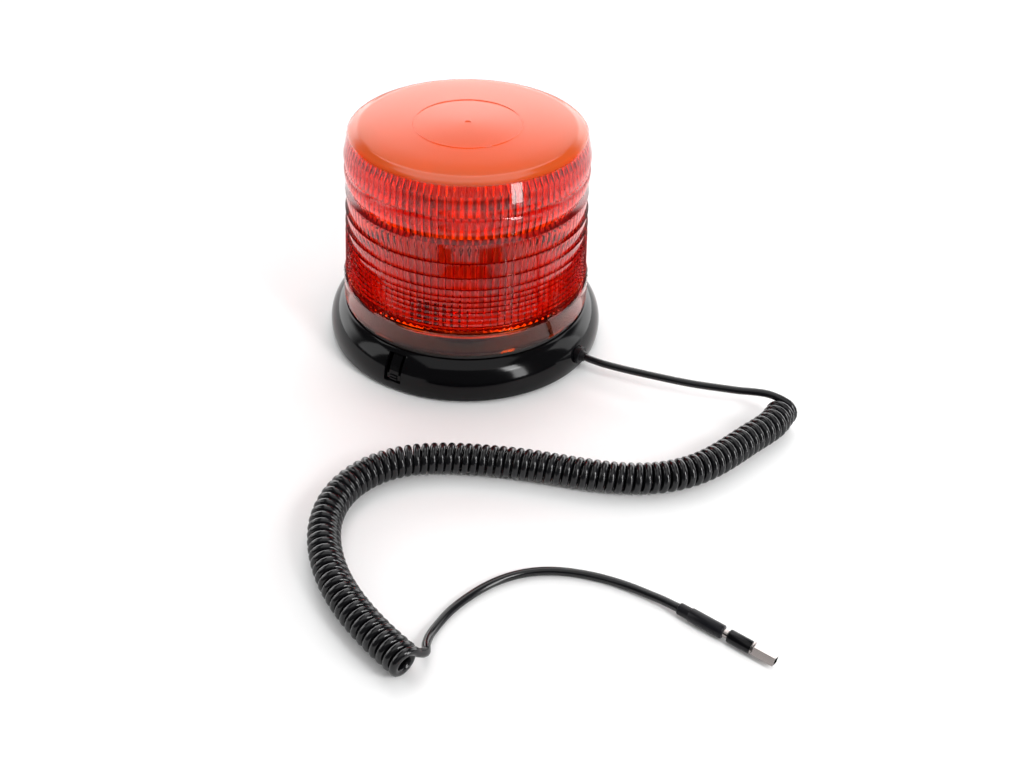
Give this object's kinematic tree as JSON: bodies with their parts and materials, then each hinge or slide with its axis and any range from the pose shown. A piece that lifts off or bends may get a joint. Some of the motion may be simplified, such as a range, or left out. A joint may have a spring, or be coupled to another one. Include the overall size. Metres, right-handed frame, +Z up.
{
  "type": "led safety flare",
  "caption": "Round amber warning beacon with a ribbed twist-off lens on a black magnetic base, fed by a curly lead that ends in a slim plug.",
  "frame": {"origin": "centre of the base's underside, where the rubber magnet face meets the surface", "axes": "+Z up along the beacon's axis; the catch is on the -X -Y side and the cord leaves on the +X -Y side"},
  "size_m": [0.2226, 0.3081, 0.1146],
  "materials": {
    "housing": "gloss black ABS",
    "plate": "matt black ABS",
    "rubber": "black rubber",
    "cup": "zinc plated steel",
    "ferrite": "sintered ferrite",
    "screws": "zinc plated steel",
    "lens": "transparent amber polycarbonate with moulded prisms",
    "seal": "black rubber",
    "catch": "gloss black ABS",
    "spring": "spring steel",
    "gland": "black rubber",
    "cord": "gloss black polyurethane sheath",
    "board": "white solder mask",
    "led_board": "white solder mask on aluminium",
    "optic": "clear moulded acrylic",
    "tower": "satin extruded aluminium",
    "dish": "satin pressed aluminium",
    "capacitor": "printed sleeve",
    "inductor": "enamelled copper",
    "chip": "moulded epoxy",
    "connector": "ivory nylon",
    "wire_red": "red PVC",
    "wire_black": "black PVC",
    "plug_boot": "matt black PVC",
    "plug_body": "gloss black ABS",
    "plug_metal": "nickel plate",
    "tongue": "black nylon"
  },
  "bodies": {
    "base": {"base_housing": "housing", "base_plate": "plate", "magnet_pad": "rubber", "foot_ring": "rubber", "magnet_cup": "cup", "ring_magnet": "ferrite", "cup_screw_1": "screws", "cup_screw_2": "screws", "cup_screw_3": "screws", "base_screw_1": "screws", "base_screw_2": "screws", "base_screw_3": "screws", "base_screw_4": "screws", "board_screw_1": "screws", "board_screw_2": "screws", "board_screw_3": "screws", "tower_screw_1": "screws", "tower_screw_2": "screws", "dish_screw_1": "screws", "dish_screw_2": "screws", "lens_seal": "seal", "cord_gland": "gland", "cord_clamp": "plate", "inner_lead": "cord", "main_board": "board", "heat_sink_tower": "tower", "led_board_1": "led_board", "optic_bar_1": "optic", "led_board_2": "led_board", "optic_bar_2": "optic", "led_board_3": "led_board", "optic_bar_3": "optic", "led_board_4": "led_board", "optic_bar_4": "optic", "led_board_5": "led_board", "optic_bar_5": "optic", "led_board_6": "led_board", "optic_bar_6": "optic", "reflector_dish": "dish", "lamp_head": "tower", "capacitor": "capacitor", "inductor": "inductor", "controller_chip": "chip", "voltage_regulator": "chip", "supply_connector": "connector", "supply_wire_1": "wire_red", "supply_wire_2": "wire_black", "lead_1": "cord", "curly_cord": "cord", "lead_2": "cord", "plug_boot": "plug_boot", "plug_barrel": "plug_metal", "plug_body": "plug_body", "plug_collar": "plug_metal", "plug_shell": "plug_metal", "plug_tongue": "tongue"},
    "lens_cover": {"lens": "lens"},
    "catch": {"release_catch": "catch", "catch_spring": "spring"}
  },
  "joints": [
    {"name": "lens_twist", "type": "hinge", "parent": "base", "child": "lens_cover", "pos_m": [0, 0, 0.0233], "axis": [0, 0, 1], "range_deg": [0, 20]},
    {"name": "catch_press", "type": "slide", "parent": "base", "child": "catch", "axis": [0.5225, 0.8526, 0], "range_m": [0, 0.0018], "stiffness_N_per_m": 600}
  ]
}
